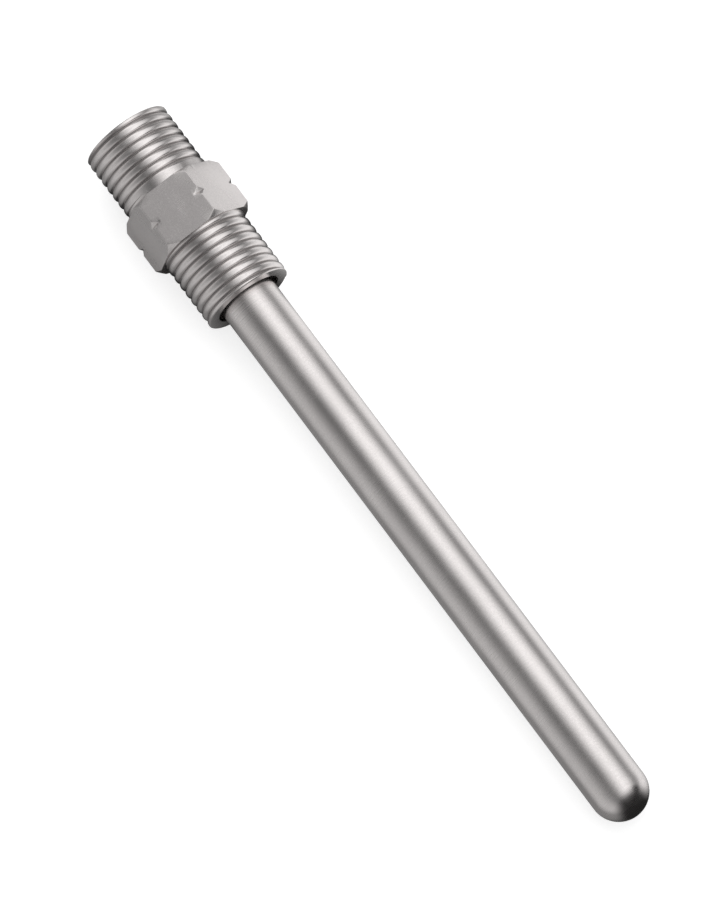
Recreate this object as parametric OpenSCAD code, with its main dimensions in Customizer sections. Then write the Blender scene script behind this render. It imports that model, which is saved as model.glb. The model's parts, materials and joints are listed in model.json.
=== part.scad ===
// Thermowell: a hexagon fitting with a male thread at each end, and a thin tube with a
// closed round tip that runs through it and is welded to it at the instrument end.
// Each turn of the threads is a ring groove of the thread's section, tilted towards its lead.
// The part lies at rest on the edge of one hexagon flat and on the tube's tip.

/* [Hexagon] */
// Size across the flats
hex_af = 21; // [21:0.1:21.4]
// Length along the fitting
hex_len = 12.6; // [11:0.1:18]
// Radius at which the end chamfers meet the end faces
hex_face_r = 11; // [10.8:0.05:11.4]
// Angle between an end chamfer and the axis
hex_chamfer_deg = 37; // [30:1:45]
// Width of the V notch where it crosses a corner
notch_w = 1.9; // [1:0.1:2.4]
// Radius of the blank at the bottom of the notch
notch_r = 11.4; // [11:0.05:11.8]

/* [Threads] */
// Major diameter of both threads, over their broad crests
thread_d = 19.85; // [19.6:0.05:19.9]
// Pitch of both threads
pitch = 2; // [1.6:0.05:2.05]
// Width of the thread's V groove at the crest
groove_w = 0.8; // [0.5:0.05:1]
// Width of the flat at the bottom of the groove
groove_root_w = 0.12; // [0.05:0.01:0.3]
// Angle between the two flanks of the groove
flank_deg = 60; // [50:1:70]
// Length of the instrument end, from its face to the hexagon
instrument_len = 15.8; // [14:0.1:20]
// Turns on the instrument end
instrument_turns = 7; // [3:1:7]
// Length of the process end, from the hexagon to its face
process_len = 15.8; // [15.5:0.1:16]
// Turns on the process end
process_turns = 8; // [3:1:8]
// Tilt of each turn: above 0 as a left-hand thread looks from above, below 0 as a right-hand one
turn_tilt_deg = 1; // [-2:0.1:2]
// Chamfer at the start of each thread, about as deep as its groove
lead_in = 0.65; // [0.5:0.05:0.8]

/* [Tube] */
// Outer diameter
tube_d = 12.7; // [12:0.1:13]
// Wall thickness, also at the closed end
tube_wall = 1.25; // [0.8:0.05:2]
// Length that stands out of the process end
tube_out = 138; // [130:0.1:250]
// Depth of the tube's open end below the instrument face
tube_recess = 1.1; // [0.8:0.1:1.4]

/* [Seats and weld] */
// Diameter of the clearance counterbore at the process end
counterbore_d = 14.8; // [13.4:0.1:16]
// Depth of the counterbore
counterbore_depth = 6; // [3:0.5:12]
// Width of the weld's seat at the instrument face
weld_w = 2; // [1.6:0.1:2.4]
// How far the weld's cap stays below the instrument face
weld_recess = 0.4; // [0.2:0.05:0.6]

/* [Hidden] */
$fn = 144;

tube_r = tube_d / 2;
bore_r = tube_r - tube_wall;
thread_r = thread_d / 2;
corner_r = hex_af / sqrt(3);
blank_r = corner_r + 0.5;               // the turned blank, clear of the hexagon's corners

// Stations along the axis, from the instrument face towards the tip
hex_z0 = instrument_len;
hex_z1 = hex_z0 + hex_len;
process_z = hex_z1 + process_len;
tip_z = process_z + tube_out;
tip_centre_z = tip_z - tube_r;

// The hexagon's turned features
chamfer_len = (blank_r - hex_face_r) / tan(hex_chamfer_deg);
notch_half = notch_w / 2 * (blank_r - notch_r) / (corner_r - notch_r);
notch_z = (hex_z0 + hex_z1) / 2;

// The threads' grooves, from the first turn next to each end face
groove_depth = (groove_w - groove_root_w) / 2 / tan(flank_deg / 2);
instrument_turn_z = 1.6;
process_turn_z = process_z - 0.85;

// The weld's cap: an arc of this many steps, from the seat's slope to the tube's end
cap_steps = 8;
cap_out = [tube_r + weld_w - weld_recess, weld_recess];
cap_in = [tube_r, tube_recess];
cap_rise = 0.25;

// At rest the process edge of a flat and the round tip touch the floor
rest_span = tip_centre_z - hex_z1;
rest_deg = acos(tube_r / norm([rest_span, hex_af / 2])) - atan(rest_span / (hex_af / 2));
rest_h = tube_r + tip_centre_z * sin(rest_deg);
x_low = -(thread_r - lead_in) * sin(rest_deg);
x_high = tip_centre_z * cos(rest_deg) + tube_r;

// A point on the weld's cap, t from 0 at the seat's slope to 1 at the tube
function cap_point(t) = cap_out + t * (cap_in - cap_out) - [0, 4 * cap_rise * t * (1 - t)];

// Lays a piece that is drawn upright, with the instrument face at z = 0, in its resting pose
module at_rest() {
    translate([-(x_low + x_high) / 2, 0, rest_h])
        rotate([0, 90 + rest_deg, 0])
            children();
}

// Profile of the threads' land, which runs on under the hexagon, with a lead-in at each end
module core_profile() {
    polygon([
        [0, 0], [thread_r - lead_in, 0], [thread_r, lead_in],
        [thread_r, process_z - lead_in], [thread_r - lead_in, process_z], [0, process_z]
    ]);
}

// A row of thread grooves, from z0 in steps of one pitch
module grooves(z0, turns, step) {
    slope = tan(flank_deg / 2);
    for (turn = [0:turns - 1])
        translate([0, 0, z0 + turn * step])
            rotate([turn_tilt_deg, 0, 0])
                rotate_extrude()
                    translate([thread_r, 0])
                        polygon([
                            [-groove_depth, -groove_root_w / 2], [1, -groove_w / 2 - slope],
                            [1, groove_w / 2 + slope], [-groove_depth, groove_root_w / 2]
                        ]);
}

// Profile of the turned blank that trims the hexagon: end chamfers and corner notch
module hex_blank_profile() {
    polygon([
        [0, hex_z0], [hex_face_r, hex_z0], [blank_r, hex_z0 + chamfer_len],
        [blank_r, notch_z - notch_half], [notch_r, notch_z], [blank_r, notch_z + notch_half],
        [blank_r, hex_z1 - chamfer_len], [hex_face_r, hex_z1], [0, hex_z1]
    ]);
}

// The hexagon: milled flats on the turned blank, with one flat towards the floor
module hexagon() {
    intersection() {
        translate([0, 0, hex_z0])
            rotate([0, 0, 30])
                cylinder(h = hex_len, r = corner_r, $fn = 6);
        rotate_extrude()
            hex_blank_profile();
    }
}

// Half section of everything bored out of the fitting: weld seat, tube seat, counterbore
module bore_profile() {
    polygon([
        [0, -1], [tube_r + weld_w + 1, -1], [tube_r, weld_w],
        [tube_r, process_z - counterbore_depth],
        [counterbore_d / 2, process_z - counterbore_depth],
        [counterbore_d / 2, process_z + 1], [0, process_z + 1]
    ]);
}

module fitting() {
    color([0.66, 0.65, 0.63])
        at_rest()
            difference() {
                union() {
                    difference() {
                        rotate_extrude()
                            core_profile();
                        grooves(instrument_turn_z, instrument_turns, pitch);
                        grooves(process_turn_z, process_turns, -pitch);
                    }
                    hexagon();
                }
                rotate_extrude()
                    bore_profile();
            }
}

// Solid round rod with a hemispherical end, in half section
module rod_profile(radius, z0) {
    translate([0, z0])
        square([radius, tip_centre_z - z0]);
    intersection() {
        translate([0, tip_centre_z])
            circle(r = radius);
        translate([0, tip_centre_z])
            square(radius);
    }
}

module sheath() {
    color([0.74, 0.73, 0.72])
        at_rest()
            rotate_extrude()
                difference() {
                    rod_profile(tube_r, tube_recess);
                    rod_profile(bore_r, 0);
                }
}

module seal_weld() {
    color([0.52, 0.5, 0.48])
        at_rest()
            rotate_extrude()
                polygon(concat(
                    [[tube_r, weld_w]],
                    [for (i = [0:cap_steps]) cap_point(i / cap_steps)]
                ));
}

fitting();
sheath();
seal_weld();
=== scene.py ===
"""Looks of the thermowell: fine meshes of the fitting with its helical threads, the drawn tube and
the rippled weld, their steel finishes, and a pale table under plain soft studio light."""

import json
import math

import bmesh
import bpy
import numpy as np
from mathutils import Matrix, Vector

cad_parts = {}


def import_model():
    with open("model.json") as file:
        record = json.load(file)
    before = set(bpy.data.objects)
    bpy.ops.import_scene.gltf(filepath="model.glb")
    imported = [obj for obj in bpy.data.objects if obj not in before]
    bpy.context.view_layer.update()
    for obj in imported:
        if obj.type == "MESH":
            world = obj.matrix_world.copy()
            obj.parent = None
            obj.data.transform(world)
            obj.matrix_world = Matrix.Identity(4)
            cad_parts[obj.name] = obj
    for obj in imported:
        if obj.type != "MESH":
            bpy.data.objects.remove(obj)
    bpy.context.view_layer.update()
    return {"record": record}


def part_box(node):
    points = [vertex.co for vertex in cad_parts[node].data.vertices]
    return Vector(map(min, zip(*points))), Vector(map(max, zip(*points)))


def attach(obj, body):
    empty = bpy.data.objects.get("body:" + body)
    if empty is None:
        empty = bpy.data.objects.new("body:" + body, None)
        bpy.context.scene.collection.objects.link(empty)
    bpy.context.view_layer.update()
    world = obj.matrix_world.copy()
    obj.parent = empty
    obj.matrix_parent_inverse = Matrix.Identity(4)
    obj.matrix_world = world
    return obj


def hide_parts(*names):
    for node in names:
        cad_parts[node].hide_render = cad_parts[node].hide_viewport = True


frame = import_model()
MM = 0.001

# ---------------------------------------------------------------------------------------------
# The part's own axes and stations. Sections are drawn in millimetres: z runs along the axis from
# the instrument face to the tip, r is the radius, and the angle starts at the top of the lying
# part and turns towards -Y.

MOUNTS = {mount["name"]: mount for mount in frame["record"]["mounts"]}
PROCESS = MOUNTS["process_thread"]
INSTRUMENT = MOUNTS["instrument_thread"]
BORE = MOUNTS["sensor_bore"]
AXIS = Vector(PROCESS["axis"])
SIDE = Vector((0, -1, 0))
TOP = SIDE.cross(AXIS)

FIT_LOW, FIT_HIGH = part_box("fitting")
TUBE_LOW, TUBE_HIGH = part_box("sheath")

THREAD_R = PROCESS["dims"]["r_mm"]
CORNER_R = (FIT_HIGH.y - FIT_LOW.y) / 2 / MM
FLAT_R = CORNER_R * math.cos(math.pi / 6)
TUBE_R = (TUBE_HIGH.y - TUBE_LOW.y) / 2 / MM
BORE_R = BORE["dims"]["r_mm"]

# The fitting's lowest x is the bottom edge of the solid's instrument face, inside its lead-in
CAD_LEAD_IN = 0.65
CAD_FACE_R = THREAD_R - CAD_LEAD_IN
FACE_CENTRE = Vector(INSTRUMENT["pos_m"])
FACE_CENTRE -= AXIS * ((FACE_CENTRE.x - FIT_LOW.x + CAD_FACE_R * MM * AXIS.z) / AXIS.x)
PLACE = Matrix.Translation(FACE_CENTRE) @ Matrix((TOP, SIDE, AXIS)).transposed().to_4x4()


def station(point):
    """How far along the axis a point of the frame is from the instrument face."""
    return (Vector(point) - FACE_CENTRE).dot(AXIS) / MM


HEX_Z0 = station(INSTRUMENT["pos_m"]) + INSTRUMENT["dims"]["length_mm"] / 2
HEX_Z1 = station(PROCESS["pos_m"]) - PROCESS["dims"]["length_mm"] / 2
PROCESS_Z = HEX_Z0 + HEX_Z1
TUBE_Z0 = station(BORE["pos_m"]) - BORE["dims"]["length_mm"] / 2
TIP_CENTRE_Z = TUBE_Z0 + BORE["dims"]["length_mm"]

# ---------------------------------------------------------------------------------------------
# Sizes of the details, in millimetres

# Edge roundings, and the largest share of a neighbouring side that each may take
CREST = 0.8
ROOT = 0.03
EDGE = 0.1
LIP = 0.3
ROUND_SHARE = {CREST: 0.7, ROOT: 0.2, EDGE: 0.45, LIP: 0.45}

PITCH = 2.0
GROOVE_W = 0.9
ROOT_W = 0.12
GROOVE_DEPTH = (GROOVE_W - ROOT_W) / 2 / math.tan(math.radians(30))
LEAD_IN = 0.2
LEFT_HAND = 1  # -1 gives right-hand threads
TURNS = range(-1, 12)  # enough to run past both ends of each thread
# At the top of the part, a groove passes this far from the instrument and the process face
INSTRUMENT_TURN = 1.02
PROCESS_TURN = 0.97
# A groove fades in between these distances from the hexagon, and none is closer than the last
INSTRUMENT_FADE = (0.8, 1.5)
PROCESS_FADE = (-0.1, 0.5)
CLOSEST_GROOVE = 0.1

FACE_Z = 0.02  # the instrument face, so far in that its rim stays inside the CAD box
HEX_FACE_R = 11.0
HEX_CHAMFER = math.tan(math.radians(44))
NOTCH_R = 11.4
NOTCH_W = 1.9
NOTCH_SLOPE = (CORNER_R - NOTCH_R) / (NOTCH_W / 2)
CORNER_ROUND = 0.15
# Half the angle that a rounded corner of the hexagon takes, seen from the axis
ROUND_ANGLE = math.atan2(
    CORNER_ROUND / 2, CORNER_R - CORNER_ROUND * (2 / math.sqrt(3) - math.sqrt(3) / 2)
)

COUNTERBORE_R = 7.4
COUNTERBORE_DEPTH = 6.0
WELD_W = 2.0
WELD_RECESS = 0.4
CAP_RISE = 0.25
RIPPLES = 38
RIPPLE_H = 0.05

# Sections once round each mesh
FITTING_SECTIONS = 216
TUBE_SECTIONS = 256
WELD_SECTIONS = 12 * RIPPLES

# ---------------------------------------------------------------------------------------------
# Finishes: the colour and roughness of the steel, and the spacing, strength and depth of its tool
# lines. From the radius plain_from on lies the hexagon, which is nearly plain. In millimetres.

FITTING_STEEL = {
    "colour": (0.672, 0.641, 0.633),
    "roughness": 0.28,
    "lines_mm": 0.12,
    "lines": 1.0,
    "line_depth": 0.0005,
    "plain_from": 10.0,
}
TUBE_STEEL = {
    "colour": (0.692, 0.66, 0.652),
    "roughness": 0.284,
    "lines_mm": 0.1,
    "lines": 0.4,
    "line_depth": 0.0005,
}
WELD_STEEL = {
    "colour": (0.58, 0.55, 0.5),
    "roughness": 0.38,
    "lines_mm": 0.25,
    "lines": 1.0,
    "line_depth": 0.0012,
}
PLAIN_LINES = 0.1  # strength of the lines on the hexagon
LINE_GLOSS = 0.06  # how much less rough a tool-lined surface is than a plain one
WORN_GLOSS = 0.08  # and how much less rough a worn edge is
ROOT_DULL = 0.25  # how much rougher the bottom of a groove is
# ROOT_SHADE darkens the colour at the bottoms of the grooves: a painted shade.
ROOT_SHADE = 0.6  # colours, as shares of the steel's own
DARKER = 0.9
LIGHTER = 1.07
WELD_TINTS = [
    (0.05, (0.62, 0.56, 0.46)),
    (0.5, (0.6, 0.47, 0.32)),
    (0.95, (0.42, 0.42, 0.46)),
]
TINT_SHARE = 0.55

# ---------------------------------------------------------------------------------------------
# Table, light and camera, in metres and degrees. A direction is given in the frame's own axes.

FLOOR_HALF = 40.0
FLOOR_COLOUR = (0.6, 0.6, 0.6)
FLOOR_LIFT = 0.7
WORLD_FILL = 0.35

KEY_AZIMUTH = -30  # round the X axis: 0 is overhead, above 0 is towards -Y
KEY_DISTANCE = 1.35
KEY_SIZE = (3.4, 1.6)
KEY_X = -0.35
KEY_LEVEL = 1.25

TENT_LOW = (-3.0, -1.5, 0.0002)
TENT_HIGH = (0.16, 1.5, 1.5)
AXIS_HEIGHT = 0.0093
# Level of the tent at each angle round the part's axis, measured as the key's is
# The low levels from about 117 round through 180 to -146 degrees fall on the tent's floor under and
# beside the part: a painted shadow of it.
TENT_LEVELS = [
    (-180, 0.05),
    (-146, 0.12),
    (-134, 0.6),
    (-124, 0.98),
    (-116, 1.12),
    (-104, 1.06),
    (-97, 0.84),
    (-90, 0.5),
    (-76, 0.36),
    (-56, 0.98),
    (-30, 1.38),
    (-4, 0.74),
    (13, 0.25),
    (34, 0.285),
    (56, 0.53),
    (80, 0.66),
    (92, 0.6),
    (100, 0.46),
    (107, 0.3),
    (117, 0.28),
    (130, 0.26),
    (146, 0.1),
    (180, 0.05),
]
# Dark patches of the tent: the station that they are seen from, the direction of their middle,
# the angles from it between which they fade out, and the share of light that they leave
DARK_PATCHES = [
    (TIP_CENTRE_Z, (0.978, 0.208, 0), (28, 64), 0.03),
    (HEX_Z1, (-0.78, 0.62, 0), (6, 30), 0.4),
    (HEX_Z1, (0.85, 0.52, 0.12), (5, 13), 0.05),
]
# A painted shadow: a dark oval of the tent's floor under and beside the fitting. Its reach along X,
# Y and Z, the shares of the reach between which it fades out, and the share of light that it leaves
PAINTED_SHADOW_CENTRE = (FACE_CENTRE.x + 20 * MM, 0, 0)
PAINTED_SHADOW_REACH = (0.028, 0.022, 0.022)
PAINTED_SHADOW_FADE = (0.75, 1.25)
PAINTED_SHADOW_SHARE = 0.04
LEAST_LEVEL = 0.02

CAMERA_RAISED = 15.1  # from straight above the part's axis, towards the tip
CAMERA_ROLLED = 3.1  # round the part's axis, towards +Y
CAMERA_HEADING = 53.0728  # of the axis in the picture, clockwise from the picture's right
CAMERA_DISTANCE = 3.2
LOOKS_AT = 84.5 * MM  # station of the picture's middle
OFF_AXIS = 0.54 * MM  # how far it lies from the axis
LENS = 617.8


# ---------------------------------------------------------------------------------------------
# Sections: lists of corners (key, z, r, rounding). A key names the same corner in every section.


def radius_at(outline, z):
    """Radius of an outline at a station."""
    return float(np.interp(z, [c[1] for c in outline], [c[2] for c in outline]))


def clipped(outline, z0, z1, name):
    """The stretch of an outline between two stations, with new corners at its ends."""
    inside = [c for c in outline if z0 < c[1] < z1]
    first = ((name, "start"), z0, radius_at(outline, z0), EDGE)
    last = ((name, "end"), z1, radius_at(outline, z1), EDGE)
    return [first, *inside, last]


def lower(one, other):
    """The lower envelope of two outlines over one span, with a corner where they cross."""
    kept = [c for c in one if c[2] <= radius_at(other, c[1]) + 1e-9]
    kept += [c for c in other if c[2] < radius_at(one, c[1]) - 1e-9]
    stations = sorted({c[1] for c in one + other})
    gaps = [radius_at(one, z) - radius_at(other, z) for z in stations]
    for i, (g0, g1) in enumerate(zip(gaps, gaps[1:])):
        if g0 * g1 < 0:
            z = stations[i] + (stations[i + 1] - stations[i]) * g0 / (g0 - g1)
            key = ("cross", key_before(one, stations[i]), key_before(other, stations[i]))
            kept.append((key, z, radius_at(one, z), EDGE))
    return sorted(kept, key=lambda c: c[1])


def key_before(outline, z):
    """Key of an outline's last corner up to a station."""
    return max((c for c in outline if c[1] <= z), key=lambda c: c[1])[0]


def smooth(x):
    """A smooth step from 0 to 1."""
    x = min(max(x, 0.0), 1.0)
    return x * x * (3 - 2 * x)


def groove(turn, z, share):
    """Corners of one turn's V groove. A share under 1 makes it narrower and less deep."""
    half = share * GROOVE_W / 2
    root = share * ROOT_W / 2
    bottom = THREAD_R - share * GROOVE_DEPTH
    return [
        (("turn", turn, 0), z - half, THREAD_R, CREST),
        (("turn", turn, 1), z - root, bottom, ROOT),
        (("turn", turn, 2), z + root, bottom, ROOT),
        (("turn", turn, 3), z + half, THREAD_R, CREST),
    ]


def thread(angle, first, turns, hexagon_z, fade):
    """Outline of a helical thread at one angle: turn 0 passes the top of the part at first."""
    corners = []
    for turn in turns:
        z = first + PITCH * (turn - LEFT_HAND * angle / math.tau)
        away = abs(z - hexagon_z)
        share = smooth((away - fade[0]) / (fade[1] - fade[0]))
        if away >= CLOSEST_GROOVE and share > 0.03:
            corners += groove(turn, z, share)
    before = (("land", 0), corners[0][1] - PITCH, THREAD_R, EDGE)
    after = (("land", 1), corners[-1][1] + 3 * PITCH, THREAD_R, EDGE)
    return [before, *corners, after]


def chamfered(z0, z1, at_start):
    """Blank of one threaded end, whose free face has the lead-in chamfer."""
    length = z1 - z0
    points = [(0, THREAD_R - LEAD_IN), (length, THREAD_R - LEAD_IN + length)]
    if at_start:
        return [(("blank", i), z0 + z, r, EDGE) for i, (z, r) in enumerate(points)]
    return [(("blank", i), z1 - z, r, EDGE) for i, (z, r) in enumerate(reversed(points))]


def hexagon_radius(angle):
    """Radius of the hexagonal prism at an angle, with slightly rounded corners."""
    off = (angle + math.pi / 6) % (math.pi / 3) - math.pi / 6  # from the middle of the flat
    corner = math.pi / 6 - abs(off)
    centre = CORNER_R - CORNER_ROUND / math.cos(math.pi / 6)
    reach = CORNER_ROUND**2 - (centre * math.sin(corner)) ** 2
    if reach > 0 and corner < ROUND_ANGLE:
        return centre * math.cos(corner) + math.sqrt(reach)
    return FLAT_R / math.cos(off)


def hexagon_blank():
    """Outline of the turned blank that trims the hexagon: end chamfers and corner notch."""
    middle = (HEX_Z0 + HEX_Z1) / 2
    top = CORNER_R + 1
    slope = (top - HEX_FACE_R) / HEX_CHAMFER
    half = (top - NOTCH_R) / NOTCH_SLOPE
    return [
        (("hex", 0), HEX_Z0, HEX_FACE_R, EDGE),
        (("hex", 1), HEX_Z0 + slope, top, EDGE),
        (("hex", 2), middle - half, top, EDGE),
        (("hex", 3), middle, NOTCH_R, EDGE),
        (("hex", 4), middle + half, top, EDGE),
        (("hex", 5), HEX_Z1 - slope, top, EDGE),
        (("hex", 6), HEX_Z1, HEX_FACE_R, EDGE),
    ]


def hexagon(angle):
    """Outline of the hexagon at one angle. Plain corners along the flat keep its faces small, so
    that no long sliver of a face runs across it."""
    r = hexagon_radius(angle)
    prism = [(("flat", 0), HEX_Z0, r, EDGE), (("flat", 1), HEX_Z1, r, EDGE)]
    outline = lower(prism, hexagon_blank())
    outline[0] = (("flat", 0), *outline[0][1:])
    outline[-1] = (("flat", 1), *outline[-1][1:])
    middle = (HEX_Z0 + HEX_Z1) / 2
    plain = [HEX_Z0 + 1.6, middle - 1.3, middle + 1.3, HEX_Z1 - 1.6]
    if r <= NOTCH_R:
        plain += [middle - 0.3, middle, middle + 0.3]
    outline += [(("side", i), z, r, 0) for i, z in enumerate(plain)]
    return sorted(outline, key=lambda c: c[1])


def upper_end(angle):
    """Outline of the instrument end at one angle, from its face to the hexagon."""
    outline = thread(angle, INSTRUMENT_TURN, TURNS, HEX_Z0, INSTRUMENT_FADE)
    outline = clipped(outline, FACE_Z, HEX_Z0, "land")
    named = [((c[0], "upper"), *c[1:]) for c in outline]
    return lower(named, chamfered(FACE_Z, HEX_Z0, True))


def under_end(angle):
    """Outline of the process end at one angle, from the hexagon to its face."""
    first = PROCESS_Z - PROCESS_TURN - 9 * PITCH
    outline = thread(angle, first, [turn for turn in TURNS if turn > 0], HEX_Z1, PROCESS_FADE)
    outline = clipped(outline, HEX_Z1, PROCESS_Z, "land")
    named = [((c[0], "under"), *c[1:]) for c in outline]
    return lower(named, chamfered(HEX_Z1, PROCESS_Z, False))


def fitting_section(angle):
    """Closed section of the fitting at one angle, from the instrument face round to its bore."""
    shoulder = PROCESS_Z - COUNTERBORE_DEPTH
    return rounded([
        *upper_end(angle),
        *hexagon(angle),
        *under_end(angle),
        ("mouth", PROCESS_Z, COUNTERBORE_R, EDGE),
        ("shoulder", shoulder, COUNTERBORE_R, EDGE),
        ("seat", shoulder, TUBE_R, EDGE),
        ("weld_root", WELD_W, TUBE_R, 0),
        ("weld_edge", FACE_Z, TUBE_R + WELD_W - FACE_Z, EDGE),
    ])


def sheath_section(_):
    """Closed section of the tube, from its open end round the tip and back through the bore."""
    steps = 40
    arc = [math.pi / 2 * i / steps for i in range(steps + 1)]
    length = TIP_CENTRE_Z - TUBE_Z0
    corners = [(("lip", 0), TUBE_Z0, BORE_R, LIP), (("lip", 1), TUBE_Z0, TUBE_R, LIP)]
    corners += [(("ring", i), TUBE_Z0 + length * i / 10, TUBE_R, 0) for i in range(1, 10)]
    for name, radius, order in (("tip", TUBE_R, 1), ("end", BORE_R, -1)):
        points = [(TIP_CENTRE_Z + radius * math.sin(a), radius * math.cos(a)) for a in arc]
        corners += [((name, i), z, r, 0) for i, (z, r) in enumerate(points)][::order]
    return rounded(corners)


def weld_section(angle):
    """Closed section of the weld at one angle: its cap has the ripples of a laid bead."""
    steps = 12
    start = np.array([WELD_RECESS, TUBE_R + WELD_W - WELD_RECESS])
    end = np.array([TUBE_Z0, TUBE_R])
    points = [(("root", 0), WELD_W, TUBE_R, 0.0)]
    for i in range(steps + 1):
        t = i / steps
        crown = 4 * t * (1 - t)
        wave = math.sin(RIPPLES * angle - 2.2 * crown) + 0.3 * math.sin(7 * angle + 5 * t)
        z, r = start + t * (end - start)
        points.append((("cap", i), z - crown * (CAP_RISE + RIPPLE_H * (wave - 1)), r, 0.0))
    return points


def at_root(key):
    """Whether a key names a corner at the bottom of a thread's groove."""
    if not isinstance(key, tuple):
        return False
    return (key[0] == "turn" and key[2] in (1, 2)) or at_root(key[0])


def corner_arc(back, ahead, radius, steps=3):
    """Steps from a corner to the points of its rounding, given the steps to its neighbours. There
    are none where the corner is sharp by choice, nearly straight or folded flat."""
    sides = np.linalg.norm(back), np.linalg.norm(ahead)
    if radius == 0 or min(sides) < 1e-6:
        return []
    back, ahead = back / sides[0], ahead / sides[1]
    opening = math.acos(np.clip(back @ ahead, -1, 1))
    if opening > math.radians(174) or opening < math.radians(3):
        return []
    run = min(radius / math.tan(opening / 2), ROUND_SHARE[radius] * min(sides))
    centre = (back + ahead) / np.linalg.norm(back + ahead) * run / math.cos(opening / 2)
    start, end = back * run - centre, ahead * run - centre
    turn = math.pi - opening
    arc = []
    for step in range(steps + 1):
        t = step / steps
        mix = (math.sin((1 - t) * turn) * start + math.sin(t * turn) * end) / math.sin(turn)
        arc.append(centre + mix)
    return arc


def rounded(corners):
    """Points (key, z, r, wear) of a closed section with its corners rounded. The last is 1
    along a worn outer edge, -1 at the bottom of a groove, which gets a painted shade, and 0
    elsewhere."""
    points = []
    places = [np.array(corner[1:3]) for corner in corners]
    for i, (key, z, r, radius) in enumerate(corners):
        back = places[i - 1] - places[i]
        ahead = places[(i + 1) % len(places)] - places[i]
        # -1 marks the bottom of a groove, whose colour gets a painted shade
        base = -1.0 if at_root(key) else 0.0
        arc = corner_arc(back, ahead, radius)
        if not arc:
            points.append(((key, 0), z, r, base))
        outer = back[0] * ahead[1] > back[1] * ahead[0]
        for step, away in enumerate(arc):
            wear = 1.0 if outer and 0 < step < len(arc) - 1 else base
            points.append(((key, step), *(places[i] + away), wear))
    return points


# ---------------------------------------------------------------------------------------------
# Meshes from sections


def next_turn(key):
    """The key that a thread's corner has one full turn later."""
    if isinstance(key, tuple) and len(key) == 3 and key[0] == "turn":
        return ("turn", key[1] + LEFT_HAND, key[2])
    if isinstance(key, tuple):
        return tuple(next_turn(part) for part in key)
    return key


def matches(one, other):
    """Pairs of places in two neighbouring sections that have one key, in order and once round."""
    where = {key: j for j, (key, _) in enumerate(other)}
    pairs = []
    last = -1
    for i, (key, _) in enumerate(one):
        j = where.get(key, -1)
        if last < j < last + 20:
            pairs.append((i, j))
            last = j
    pairs.append((pairs[0][0] + len(one), pairs[0][1] + len(other)))
    return pairs


def triangles(left, right, places):
    """Triangles between two runs of vertices, each with the shorter of the two cross edges."""
    faces = []
    i = j = 0
    while i < len(left) - 1 or j < len(right) - 1:
        ahead = beyond = math.inf
        if i < len(left) - 1:
            ahead = math.dist(places[left[i + 1]], places[right[j]])
        if j < len(right) - 1:
            beyond = math.dist(places[left[i]], places[right[j + 1]])
        if ahead <= beyond:
            faces.append((left[i], left[i + 1], right[j]))
            i += 1
        else:
            faces.append((left[i], right[j + 1], right[j]))
            j += 1
    return faces


def stitch(one, other, places):
    """Faces between two neighbouring sections, given as lists of (key, vertex): a quad between
    equal keys, and triangles where a key is missing on one side."""
    faces = []
    pairs = matches(one, other)
    for (i, j), (i1, j1) in zip(pairs, pairs[1:]):
        left = [one[k % len(one)][1] for k in range(i, i1 + 1)]
        right = [other[k % len(other)][1] for k in range(j, j1 + 1)]
        if len(left) == len(right) == 2:
            faces.append((left[0], left[1], right[1], right[0]))
        else:
            faces += triangles(left, right, places)
    return faces


def stitched_mesh(name, section, angles):
    """A mesh through the sections at these angles, in the part's own axes, with wear and painted
    shade.
    """
    places, wear_and_shade_values, columns = [], [], []
    for angle in angles:
        column = []
        for key, z, r, wear in section(angle):
            column.append((key, len(places)))
            places.append((r * math.cos(angle) * MM, r * math.sin(angle) * MM, z * MM))
            wear_and_shade_values.append(wear)
        columns.append(column)
    closing = [(next_turn(key), vertex) for key, vertex in columns[0]]
    faces = []
    for one, other in zip(columns, [*columns[1:], closing]):
        faces += stitch(one, other, places)
    mesh = bpy.data.meshes.new(name)
    mesh.from_pydata(places, [], faces)
    mesh.attributes.new("wear", "FLOAT", "POINT").data.foreach_set("value", wear_and_shade_values)
    return mesh


def on_flat(face):
    """Whether a face, still in the part's own axes, lies on one of the hexagon's flats."""
    level = abs(face.calc_center_median().dot(face.normal)) / MM
    return abs(level - FLAT_R) < 0.01 and abs(face.normal.z) < 0.01


def turned_mesh(name, section, angles):
    """A closed mesh through the sections, in place and smooth but for the hexagon's flats."""
    mesh = stitched_mesh(name, section, angles)
    body = bmesh.new()
    body.from_mesh(mesh)
    bmesh.ops.remove_doubles(body, verts=body.verts, dist=1e-7)
    bmesh.ops.dissolve_degenerate(body, edges=body.edges, dist=1e-7)
    loose = [edge for edge in body.edges if not edge.link_faces]
    bmesh.ops.delete(body, geom=loose, context="EDGES")
    body.normal_update()
    for face in body.faces:
        face.smooth = not on_flat(face)
    bmesh.ops.transform(body, matrix=PLACE, verts=body.verts)
    if body.calc_volume(signed=True) < 0:
        bmesh.ops.reverse_faces(body, faces=body.faces)
    body.to_mesh(mesh)
    body.free()
    return mesh


def even_angles(count):
    """Angles in equal steps once round the axis."""
    return [i * math.tau / count for i in range(count)]


def fitting_angles():
    """Angles of the fitting's sections: even steps, with extra ones at the hexagon's features."""
    special = []
    for side in range(6):
        flat = side * math.pi / 3
        for r in (HEX_FACE_R, NOTCH_R):
            away = math.acos(FLAT_R / r)
            special += [flat - away, flat + away]
        corner = flat + math.pi / 6
        special += [corner + ROUND_ANGLE * share for share in (-1, -0.5, 0, 0.5, 1)]
    special = [angle % math.tau for angle in special]
    even = even_angles(FITTING_SECTIONS)
    clear = [angle for angle in even if min(abs(angle - s) for s in special) > even[1] / 4]
    return sorted(clear + special)


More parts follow.
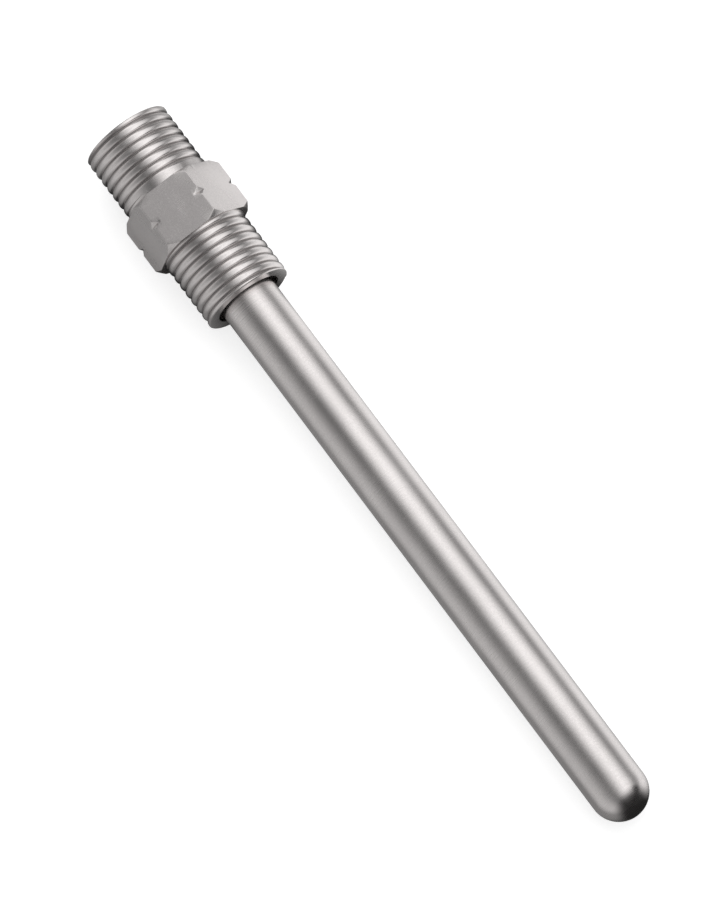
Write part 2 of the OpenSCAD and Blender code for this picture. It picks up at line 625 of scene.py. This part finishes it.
def piece(mesh, node, material):
    """Shows a mesh as the look of one CAD node."""
    shown = bpy.data.objects.new(mesh.name, mesh)
    bpy.context.scene.collection.objects.link(shown)
    mesh.materials.append(material)
    normals = shown.modifiers.new("normals", "WEIGHTED_NORMAL")
    normals.mode = "FACE_AREA"
    normals.weight = 90
    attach(shown, "root")
    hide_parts(node)


# ---------------------------------------------------------------------------------------------
# Node trees


class Nodes:
    """A node tree, with short calls for the nodes used here."""

    def __init__(self, tree):
        self.tree = tree

    def node(self, kind, settings=(), **inputs):
        """A new node with these settings and inputs. An input is a value or another's output."""
        made = self.tree.nodes.new(kind)
        for key, value in dict(settings).items():
            setattr(made, key, value)
        for key, value in inputs.items():
            self.put(made.inputs[key.replace("_", " ")], value)
        return made

    def put(self, socket, value):
        """Gives a socket a value, or links an output to it."""
        if isinstance(value, bpy.types.NodeSocket):
            self.tree.links.new(value, socket)
        else:
            socket.default_value = value

    def calc(self, operation, one, other):
        """One operation on two numbers."""
        made = self.node("ShaderNodeMath", {"operation": operation})
        self.put(made.inputs[0], one)
        self.put(made.inputs[1], other)
        return made.outputs[0]

    def plus(self, one, other):
        """The sum of two numbers."""
        return self.calc("ADD", one, other)

    def minus(self, one, other):
        """The difference of two numbers."""
        return self.calc("SUBTRACT", one, other)

    def times(self, one, other):
        """The product of two numbers."""
        return self.calc("MULTIPLY", one, other)

    def vector(self, operation, one, other):
        """One operation on two vectors."""
        made = self.node("ShaderNodeVectorMath", {"operation": operation})
        self.put(made.inputs[0], one)
        self.put(made.inputs[1], other)
        return made.outputs["Vector"]

    def length(self, vector):
        """The length of a vector."""
        made = self.node("ShaderNodeVectorMath", {"operation": "LENGTH"}, Vector=vector)
        return made.outputs["Value"]

    def world_place(self):
        """Places in the frame's axes: every mesh here is made in place."""
        return self.node("ShaderNodeTexCoord").outputs["Object"]

    def own_place(self):
        """Places in the part's own axes, in metres, with Z along the tube."""
        made = self.node("ShaderNodeMapping", {"vector_type": "TEXTURE"}, Vector=self.world_place())
        self.put(made.inputs["Location"], FACE_CENTRE)
        self.put(made.inputs["Rotation"], PLACE.to_euler())
        return made.outputs["Vector"]

    def noise(self, place, scale, detail=3.0, roughness=0.55):
        """Noise of about 0 to 1, with its own scale along each axis."""
        scaled = self.vector("MULTIPLY", place, scale)
        made = self.node(
            "ShaderNodeTexNoise", Vector=scaled, Scale=1.0, Detail=detail, Roughness=roughness
        )
        return made.outputs["Factor" if "Factor" in made.outputs else "Fac"]

    def span(self, value, low, high, start=0.3, end=0.7):
        """A value that goes from start to end, as a smooth step from low to high."""
        made = self.node("ShaderNodeMapRange", {"interpolation_type": "SMOOTHSTEP"}, Value=value)
        made.inputs["From Min"].default_value = start
        made.inputs["From Max"].default_value = end
        made.inputs["To Min"].default_value = low
        made.inputs["To Max"].default_value = high
        return made.outputs["Result"]

    def mix(self, share, one, other, blend="MIX"):
        """Two colours blended."""
        made = self.node("ShaderNodeMix", {"data_type": "RGBA", "blend_type": blend})
        for index, value in ((0, share), (6, one), (7, other)):
            self.put(made.inputs[index], value)
        return made.outputs[2]

    def ramp(self, value, stops, interpolation="LINEAR"):
        """A colour ramp with these stops, each a position and a colour."""
        made = self.node("ShaderNodeValToRGB", Fac=value)
        made.color_ramp.interpolation = interpolation
        elements = made.color_ramp.elements
        while len(elements) < len(stops):
            elements.new(0.5)
        for element, (position, colour) in zip(elements, stops):
            element.position = position
            element.color = (*colour, 1)
        return made.outputs["Color"]

    def bump(self, height, distance, normal=None):
        """A normal bent by a height, over another bump's normal if there is one."""
        made = self.node("ShaderNodeBump", Height=height, Strength=1.0, Distance=distance)
        if normal is not None:
            self.put(made.inputs["Normal"], normal)
        return made.outputs["Normal"]

    def seen(self):
        """1 for what the camera sees, directly, mirrored or through glass, and 0 for other light."""
        path = self.node("ShaderNodeLightPath").outputs
        share = self.calc("MAXIMUM", path["Is Camera Ray"], path["Is Glossy Ray"])
        return self.calc("MAXIMUM", share, path["Is Transmission Ray"])


def new_material(name):
    """A material, the short calls for its node tree, and its shader's inputs."""
    material = bpy.data.materials.new(name)
    material.use_nodes = True
    tree = material.node_tree
    return material, Nodes(tree), tree.nodes["Principled BSDF"].inputs


# ---------------------------------------------------------------------------------------------
# Finishes


def shade(colour, share):
    """A colour made darker or lighter."""
    return (*(min(c * share, 1) for c in colour), 1)


def line_strength(n, place, lines, plain_from):
    """How strong the tool lines are. From the radius plain_from on lie the hexagon's plain flats."""
    if plain_from is None:
        return lines
    across = n.length(n.vector("MULTIPLY", place, (1, 1, 0)))
    return n.span(across, lines, PLAIN_LINES, plain_from * MM, (plain_from + 0.3) * MM)


def tool_lines(n, place, lines_mm, lined):
    """Noise drawn out round the axis, at the spacing of the tool lines, and a broader one."""
    per_line = 1 / (lines_mm * MM)
    fine = n.noise(place, (90, 90, per_line), 4, 0.6)
    fine = n.plus(n.times(n.minus(fine, 0.5), lined), 0.5)
    return fine, n.noise(place, (45, 45, per_line / 4), 2)


def mottled(n, colour, fine, patch, speck):
    """The steel's colour, varied by patches and specks and darkened along the tool lines."""
    darker = shade(colour, DARKER)
    blotch = n.plus(n.times(patch, 0.6), n.times(speck, 0.4))
    base = n.mix(n.span(blotch, 0, 1, 0.36, 0.64), darker, shade(colour, LIGHTER))
    return n.mix(n.span(fine, 0.0, 0.35), base, darker)


def satin(n, roughness, fine, patch, lined, worn, dull_shaded_root):
    """Roughness that varies with the lines, the patches and the wear."""
    rough = n.plus(n.span(fine, roughness - 0.05, roughness + 0.06), n.span(patch, -0.03, 0.03))
    rough = n.minus(rough, n.times(lined, LINE_GLOSS))
    rough = n.minus(rough, n.times(worn, WORN_GLOSS))
    return n.plus(rough, n.times(dull_shaded_root, ROOT_DULL))


def relief(n, fine, broad, speck, lined, depth):
    """The surface bent by its tool lines and specks."""
    height = n.times(n.plus(fine, n.times(broad, 0.6)), lined)
    return n.bump(n.times(speck, lined), 0.8 * depth, n.bump(height, depth))


def steel(name, colour, roughness, lines_mm, lines, line_depth, plain_from=None, tint=None):
    """Satin stainless steel: fine tool lines round the axis, soft patches and specks, brighter
    worn edges, and dull groove bottoms whose colour is darkened as a painted shade."""
    material, n, shader = new_material(name)
    place = n.own_place()
    lined = line_strength(n, place, lines, plain_from)
    fine, broad = tool_lines(n, place, lines_mm, lined)
    patch = n.noise(place, (130, 130, 60), 4)
    speck = n.noise(place, (2600, 2600, 2600), 2)
    wear = n.node("ShaderNodeAttribute", {"attribute_name": "wear"}).outputs["Fac"]
    worn = n.span(wear, 0, 0.4, 0.1, 1.0)
    # 1 at the bottom of a groove: rougher there, and darkened in colour as a painted shade
    dull_shaded_root = n.span(wear, 1, 0, -0.8, 0.0)

    base = mottled(n, colour, fine, patch, speck)
    if tint is not None:
        base = tint(n, place, base)
    base = n.mix(worn, base, shade(colour, LIGHTER))
    # Painted shade: the groove bottoms take the steel's colour darkened by ROOT_SHADE.
    n.put(shader["Base Color"], n.mix(dull_shaded_root, base, shade(colour, ROOT_SHADE)))
    n.put(shader["Roughness"], satin(n, roughness, fine, patch, lined, worn, dull_shaded_root))
    n.put(shader["Normal"], relief(n, fine, broad, speck, lined, line_depth * MM))
    shader["Metallic"].default_value = 1.0
    return material


def weld_tint(n, place, base):
    """Straw to blue heat colours in bands across the weld, broken up by noise."""
    depth = n.node("ShaderNodeSeparateXYZ", Vector=place).outputs["Z"]
    level = n.times(depth, 1 / (1.6 * MM))
    level = n.plus(level, n.span(n.noise(place, (700, 700, 700)), -0.2, 0.2))
    return n.mix(TINT_SHARE, base, n.ramp(level, WELD_TINTS))


# ---------------------------------------------------------------------------------------------
# Table and studio


def table_white():
    """A pale diffuse surface that the camera, and what mirrors or refracts it, see nearly white."""
    material, n, shader = new_material("floor")
    patch = n.span(n.noise(n.world_place(), (3, 3, 3), 2), 0, 1)
    n.put(shader["Base Color"], n.mix(patch, shade(FLOOR_COLOUR, 1), shade(FLOOR_COLOUR, 0.985)))
    n.put(shader["Emission Strength"], n.times(n.seen(), FLOOR_LIFT))
    shader["Emission Color"].default_value = (1, 1, 1, 1)
    shader["Roughness"].default_value = 0.9
    shader["Specular IOR Level"].default_value = 0.0
    return material


def level_round_axis(n, place):
    """The tent's level at each angle round the part's axis, as a share of the highest level, and
    that level."""
    split = n.node("ShaderNodeSeparateXYZ", Vector=place)
    sideways = n.times(split.outputs["Y"], -1)
    height = n.minus(split.outputs["Z"], AXIS_HEIGHT)
    turn = n.node("ShaderNodeMapRange", Value=n.calc("ARCTAN2", sideways, height))
    turn.inputs["From Min"].default_value = -math.pi
    turn.inputs["From Max"].default_value = math.pi
    peak = max(level for _, level in TENT_LEVELS)
    stops = [((degrees + 180) / 360, (level / peak,) * 3) for degrees, level in TENT_LEVELS]
    return n.ramp(turn.outputs["Result"], stops, "CARDINAL"), peak


def patch_share(n, place, station_z, direction, cone, least):
    """The share of light that a dark patch leaves at each place of the tent."""
    away = n.vector("SUBTRACT", place, FACE_CENTRE + AXIS * station_z * MM)
    away = n.node("ShaderNodeVectorMath", {"operation": "NORMALIZE"}, Vector=away)
    along = n.node("ShaderNodeVectorMath", {"operation": "DOT_PRODUCT"})
    n.put(along.inputs[0], away.outputs["Vector"])
    n.put(along.inputs[1], Vector(direction).normalized())
    inner, outer = (math.cos(math.radians(degrees)) for degrees in cone)
    return n.span(along.outputs["Value"], 1.0, least, outer, inner)


def painted_shadow_share(n, place):
    """The share of light that the painted shadow under the fitting leaves at each place of the tent.
    """
    away = n.vector("SUBTRACT", place, PAINTED_SHADOW_CENTRE)
    away = n.vector("MULTIPLY", away, [1 / reach for reach in PAINTED_SHADOW_REACH])
    return n.span(n.length(away), PAINTED_SHADOW_SHARE, 1.0, *PAINTED_SHADOW_FADE)


def tent_light():
    """Light that changes with the angle round the part's axis, with a few darker patches and a
    painted shadow.
    """
    material, n, shader = new_material("tent")
    place = n.world_place()
    level, peak = level_round_axis(n, place)
    for patch in DARK_PATCHES:
        level = n.mix(1.0, level, patch_share(n, place, *patch), "MULTIPLY")
    # A painted shadow: the oval under and beside the fitting darkens the tent's floor.
    level = n.mix(1.0, level, painted_shadow_share(n, place), "MULTIPLY")
    level = n.mix(1.0, level, (*(LEAST_LEVEL / peak,) * 3, 1), "LIGHTEN")
    n.put(shader["Emission Color"], level)
    shader["Emission Strength"].default_value = peak
    shader["Base Color"].default_value = (0, 0, 0, 1)
    shader["Specular IOR Level"].default_value = 0.0
    return material


def stage(name, corners, faces, material):
    """A stage object: not part of the thermowell."""
    mesh = bpy.data.meshes.new(name)
    mesh.from_pydata(corners, [], faces)
    mesh.materials.append(material)
    shown = bpy.data.objects.new(name, mesh)
    bpy.context.scene.collection.objects.link(shown)
    return shown


def floor():
    """The table."""
    half = FLOOR_HALF
    corners = [(-half, -half, 0), (half, -half, 0), (half, half, 0), (-half, half, 0)]
    stage("floor", corners, [(0, 1, 2, 3)], table_white())


def tent():
    """A light tent round the part, from the table up, that only the metal mirrors."""
    (x0, y0, z0), (x1, y1, z1) = TENT_LOW, TENT_HIGH
    corners = [(x, y, z) for x in (x0, x1) for y in (y0, y1) for z in (z0, z1)]
    faces = [(0, 1, 3, 2), (4, 5, 7, 6), (0, 1, 5, 4), (2, 3, 7, 6), (0, 2, 6, 4), (1, 3, 7, 5)]
    shown = stage("tent", corners, faces, tent_light())
    shown.visible_camera = False
    shown.visible_diffuse = False
    shown.visible_shadow = False


def key_light():
    """One large soft box above the table. The metal mirrors the tent instead of it."""
    turn = math.radians(KEY_AZIMUTH)
    light = bpy.data.lights.new("key", "AREA")
    light.shape = "RECTANGLE"
    light.size, light.size_y = KEY_SIZE
    light.energy = KEY_LEVEL * math.pi * KEY_SIZE[0] * KEY_SIZE[1]
    shown = bpy.data.objects.new("key", light)
    shown.location = (KEY_X, -KEY_DISTANCE * math.sin(turn), KEY_DISTANCE * math.cos(turn))
    shown.rotation_euler = (turn, 0, 0)
    shown.visible_camera = False
    shown.visible_glossy = False
    bpy.context.scene.collection.objects.link(shown)


def world():
    """White for the camera and for what the metal mirrors, and a plain soft fill for the rest."""
    made = bpy.data.worlds.new("studio")
    made.use_nodes = True
    n = Nodes(made.node_tree)
    background = made.node_tree.nodes["Background"].inputs
    background["Color"].default_value = (1, 1, 1, 1)
    level = n.node("ShaderNodeMapRange", Value=n.seen())
    level.inputs["To Min"].default_value = WORLD_FILL
    level.inputs["To Max"].default_value = 1.0
    n.put(background["Strength"], level.outputs["Result"])
    bpy.context.scene.world = made


def camera():
    """Camera above the lying part and on its tip's side, with the tip towards the lower right."""
    raised = math.radians(CAMERA_RAISED)
    rolled = math.radians(CAMERA_ROLLED)
    heading = math.radians(CAMERA_HEADING)
    top = math.cos(rolled) * TOP - math.sin(rolled) * SIDE
    side = math.cos(rolled) * SIDE + math.sin(rolled) * TOP
    back = math.sin(raised) * AXIS + math.cos(raised) * top
    down_tube = math.cos(raised) * AXIS - math.sin(raised) * top
    right = math.cos(heading) * down_tube - math.sin(heading) * side
    up = -math.sin(heading) * down_tube - math.cos(heading) * side
    data = bpy.data.cameras.new("camera")
    data.sensor_width = 36
    data.lens = LENS
    data.clip_start = 0.1
    data.clip_end = 200
    shown = bpy.data.objects.new("camera", data)
    bpy.context.scene.collection.objects.link(shown)
    target = FACE_CENTRE + AXIS * LOOKS_AT + side * OFF_AXIS
    turn = Matrix((right, up, back)).transposed().to_4x4()
    shown.matrix_world = Matrix.Translation(target + back * CAMERA_DISTANCE) @ turn
    bpy.context.scene.camera = shown


# ---------------------------------------------------------------------------------------------
# The scene

piece(
    turned_mesh("fitting_visual", fitting_section, fitting_angles()),
    "fitting",
    steel("fitting_steel", **FITTING_STEEL),
)
piece(
    turned_mesh("sheath_visual", sheath_section, even_angles(TUBE_SECTIONS)),
    "sheath",
    steel("tube_steel", **TUBE_STEEL),
)
piece(
    turned_mesh("seal_weld_visual", weld_section, even_angles(WELD_SECTIONS)),
    "seal_weld",
    steel("weld_steel", **WELD_STEEL, tint=weld_tint),
)

floor()
tent()
key_light()
world()
camera()
bpy.context.scene.view_settings.view_transform = "Standard"
